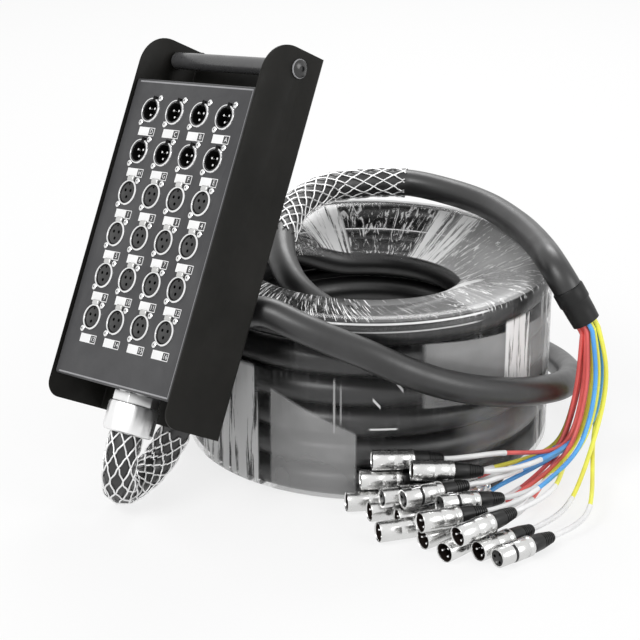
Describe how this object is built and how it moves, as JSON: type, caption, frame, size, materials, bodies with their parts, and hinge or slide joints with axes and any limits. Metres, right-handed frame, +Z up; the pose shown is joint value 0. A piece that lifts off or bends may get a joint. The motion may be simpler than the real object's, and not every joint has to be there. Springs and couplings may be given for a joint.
{
  "type": "stage box snake",
  "caption": "Metal stage box with a grid of panel connectors, leaning on its film-wrapped coil of multicore cable, whose far end fans out into leads with inline plugs.",
  "frame": {"origin": "on the floor, under the middle of the box and the wrapped coil", "axes": "+Z up, +X to the right and +Y away from the side that shows the connector face"},
  "size_m": [0.5291, 0.6269, 0.4213],
  "materials": {
    "cover_paint": "satin powder coat",
    "plate_paint": "textured powder coat",
    "handle_tube": "satin",
    "chrome": "polished",
    "gland_nickel": "nickel plated",
    "nickel": "satin nickel",
    "film": "clear stretch film",
    "jacket": "matt",
    "shrink": "matt",
    "lead_jacket": "matt"
  },
  "bodies": {
    "snake": {"outer_cover": "cover_paint", "face_plate": "plate_paint", "handle_bar": "handle_tube", "handle_bolt_left": "chrome", "handle_bolt_right": "chrome", "gland_body": "gland_nickel", "gland_cap": "gland_nickel", "input_jack_01": "chrome", "input_jack_02": "chrome", "input_jack_03": "chrome", "input_jack_04": "chrome", "input_jack_05": "chrome", "input_jack_06": "chrome", "input_jack_07": "chrome", "input_jack_08": "chrome", "input_jack_09": "chrome", "input_jack_10": "chrome", "input_jack_11": "chrome", "input_jack_12": "chrome", "input_jack_13": "chrome", "input_jack_14": "chrome", "input_jack_15": "chrome", "input_jack_16": "chrome", "film_wrap": "film", "cable_box_tail": "jacket", "cable_coil": "jacket", "cable_fan_tail": "jacket", "breakout_boot": "shrink", "fan_leads": "lead_jacket", "plug_01_male": "nickel", "plug_02_male": "nickel", "plug_03_male": "nickel", "plug_04_male": "nickel", "plug_05_male": "nickel", "plug_06_male": "nickel", "plug_07_male": "nickel", "plug_08_female": "nickel", "plug_09_female": "nickel", "plug_10_female": "nickel", "plug_11_male": "nickel", "plug_12_male": "nickel"},
    "tab_01": {"release_tab_01": "nickel"},
    "tab_02": {"release_tab_02": "nickel"},
    "tab_03": {"release_tab_03": "nickel"},
    "tab_04": {"release_tab_04": "nickel"},
    "tab_05": {"release_tab_05": "nickel"},
    "tab_06": {"release_tab_06": "nickel"},
    "tab_07": {"release_tab_07": "nickel"},
    "tab_08": {"release_tab_08": "nickel"},
    "tab_09": {"release_tab_09": "nickel"},
    "tab_10": {"release_tab_10": "nickel"},
    "tab_11": {"release_tab_11": "nickel"},
    "tab_12": {"release_tab_12": "nickel"},
    "tab_13": {"release_tab_13": "nickel"},
    "tab_14": {"release_tab_14": "nickel"},
    "tab_15": {"release_tab_15": "nickel"},
    "tab_16": {"release_tab_16": "nickel"},
    "latch_08": {"plug_08_latch": "chrome"},
    "latch_09": {"plug_09_latch": "chrome"},
    "latch_10": {"plug_10_latch": "chrome"}
  },
  "joints": [
    {"name": "tab_01_press", "type": "slide", "parent": "snake", "child": "tab_01", "axis": [0.6739, 0.5654, -0.4756], "range_m": [0, 0.0012], "stiffness_N_per_m": 500, "springref_m": -0.001},
    {"name": "tab_02_press", "type": "slide", "parent": "snake", "child": "tab_02", "axis": [0.6739, 0.5654, -0.4756], "range_m": [0, 0.0012], "stiffness_N_per_m": 500, "springref_m": -0.001},
    {"name": "tab_03_press", "type": "slide", "parent": "snake", "child": "tab_03", "axis": [0.6739, 0.5654, -0.4756], "range_m": [0, 0.0012], "stiffness_N_per_m": 500, "springref_m": -0.001},
    {"name": "tab_04_press", "type": "slide", "parent": "snake", "child": "tab_04", "axis": [0.6739, 0.5654, -0.4756], "range_m": [0, 0.0012], "stiffness_N_per_m": 500, "springref_m": -0.001},
    {"name": "tab_05_press", "type": "slide", "parent": "snake", "child": "tab_05", "axis": [0.6739, 0.5654, -0.4756], "range_m": [0, 0.0012], "stiffness_N_per_m": 500, "springref_m": -0.001},
    {"name": "tab_06_press", "type": "slide", "parent": "snake", "child": "tab_06", "axis": [0.6739, 0.5654, -0.4756], "range_m": [0, 0.0012], "stiffness_N_per_m": 500, "springref_m": -0.001},
    {"name": "tab_07_press", "type": "slide", "parent": "snake", "child": "tab_07", "axis": [0.6739, 0.5654, -0.4756], "range_m": [0, 0.0012], "stiffness_N_per_m": 500, "springref_m": -0.001},
    {"name": "tab_08_press", "type": "slide", "parent": "snake", "child": "tab_08", "axis": [0.6739, 0.5654, -0.4756], "range_m": [0, 0.0012], "stiffness_N_per_m": 500, "springref_m": -0.001},
    {"name": "tab_09_press", "type": "slide", "parent": "snake", "child": "tab_09", "axis": [0.6739, 0.5654, -0.4756], "range_m": [0, 0.0012], "stiffness_N_per_m": 500, "springref_m": -0.001},
    {"name": "tab_10_press", "type": "slide", "parent": "snake", "child": "tab_10", "axis": [0.6739, 0.5654, -0.4756], "range_m": [0, 0.0012], "stiffness_N_per_m": 500, "springref_m": -0.001},
    {"name": "tab_11_press", "type": "slide", "parent": "snake", "child": "tab_11", "axis": [0.6739, 0.5654, -0.4756], "range_m": [0, 0.0012], "stiffness_N_per_m": 500, "springref_m": -0.001},
    {"name": "tab_12_press", "type": "slide", "parent": "snake", "child": "tab_12", "axis": [0.6739, 0.5654, -0.4756], "range_m": [0, 0.0012], "stiffness_N_per_m": 500, "springref_m": -0.001},
    {"name": "tab_13_press", "type": "slide", "parent": "snake", "child": "tab_13", "axis": [0.6739, 0.5654, -0.4756], "range_m": [0, 0.0012], "stiffness_N_per_m": 500, "springref_m": -0.001},
    {"name": "tab_14_press", "type": "slide", "parent": "snake", "child": "tab_14", "axis": [0.6739, 0.5654, -0.4756], "range_m": [0, 0.0012], "stiffness_N_per_m": 500, "springref_m": -0.001},
    {"name": "tab_15_press", "type": "slide", "parent": "snake", "child": "tab_15", "axis": [0.6739, 0.5654, -0.4756], "range_m": [0, 0.0012], "stiffness_N_per_m": 500, "springref_m": -0.001},
    {"name": "tab_16_press", "type": "slide", "parent": "snake", "child": "tab_16", "axis": [0.6739, 0.5654, -0.4756], "range_m": [0, 0.0012], "stiffness_N_per_m": 500, "springref_m": -0.001},
    {"name": "latch_08_press", "type": "slide", "parent": "snake", "child": "latch_08", "axis": [-0.0069, -0.0054, -1], "range_m": [0, 0.0009], "stiffness_N_per_m": 500, "springref_m": -0.001},
    {"name": "latch_09_press", "type": "slide", "parent": "snake", "child": "latch_09", "axis": [-0.0047, -0.0023, -1], "range_m": [0, 0.0009], "stiffness_N_per_m": 500, "springref_m": -0.001},
    {"name": "latch_10_press", "type": "slide", "parent": "snake", "child": "latch_10", "axis": [-0.1105, -0.0553, -0.9923], "range_m": [0, 0.0009], "stiffness_N_per_m": 500, "springref_m": -0.001}
  ]
}
